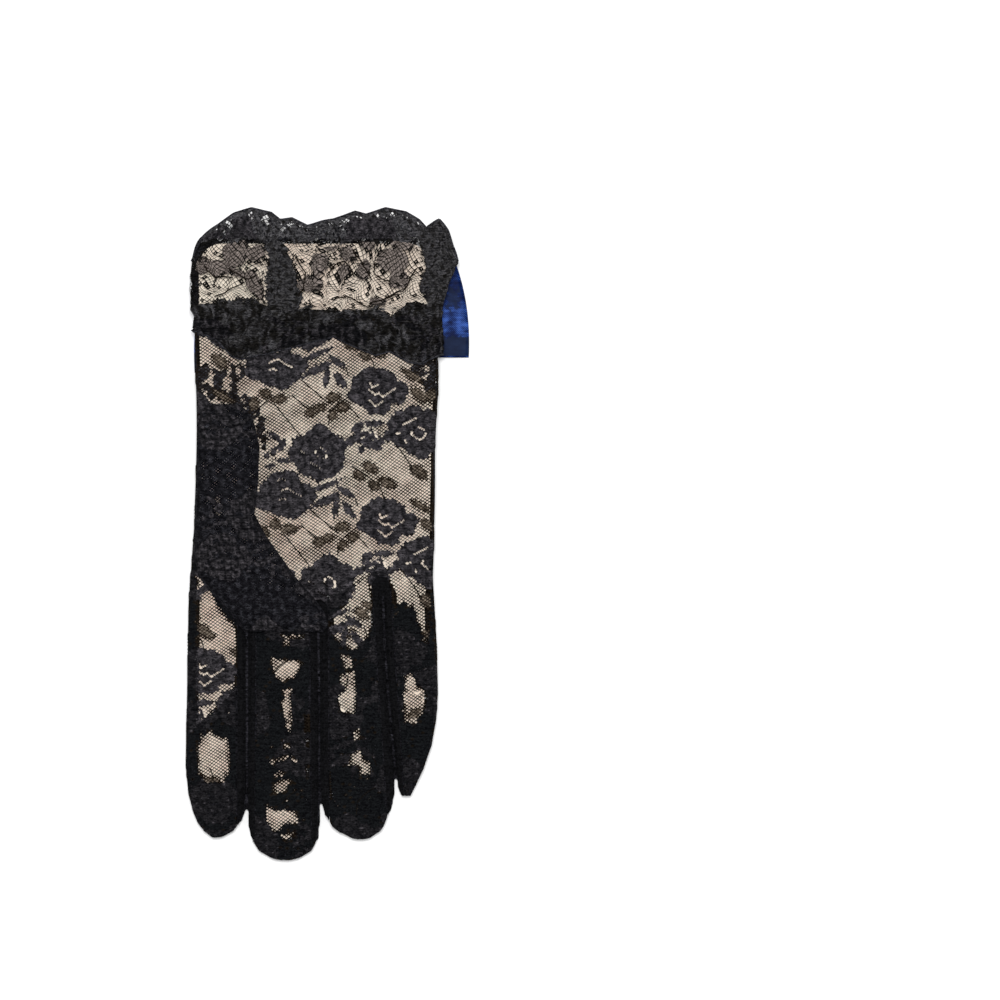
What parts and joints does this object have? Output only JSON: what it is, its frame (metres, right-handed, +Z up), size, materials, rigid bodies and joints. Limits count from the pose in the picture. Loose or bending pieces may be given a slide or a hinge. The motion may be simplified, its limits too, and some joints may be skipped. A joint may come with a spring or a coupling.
{
  "type": "lace glove with card form",
  "caption": "Black lace wrist glove lying palm up on its card form, thumb folded over the palm, gathered scalloped ruffle and satin bow at the wrist",
  "frame": {"origin": "middle of the bounding box seen from above, on the surface that the glove lies on", "axes": "+X to the little finger's side, +Y from the fingertips to the ruffle, +Z up out of the palm"},
  "size_m": [0.099, 0.2254, 0.0256],
  "materials": {
    "lace": "black floral lace, matt",
    "tricot": "plain black knit, matt",
    "ribbon": "blue satin with a navy edge band",
    "card": "plain tan card, matt"
  },
  "bodies": {
    "root": {"palm_panel": "lace", "back_panel": "lace", "fourchette_index_middle": "tricot", "fourchette_middle_ring": "tricot", "fourchette_ring_little": "tricot", "thumb": "lace", "wrist_ruffle": "lace", "bow_loop_right": "ribbon", "bow_loop_left": "ribbon", "bow_knot": "ribbon", "card_form": "card"}
  },
  "joints": []
}
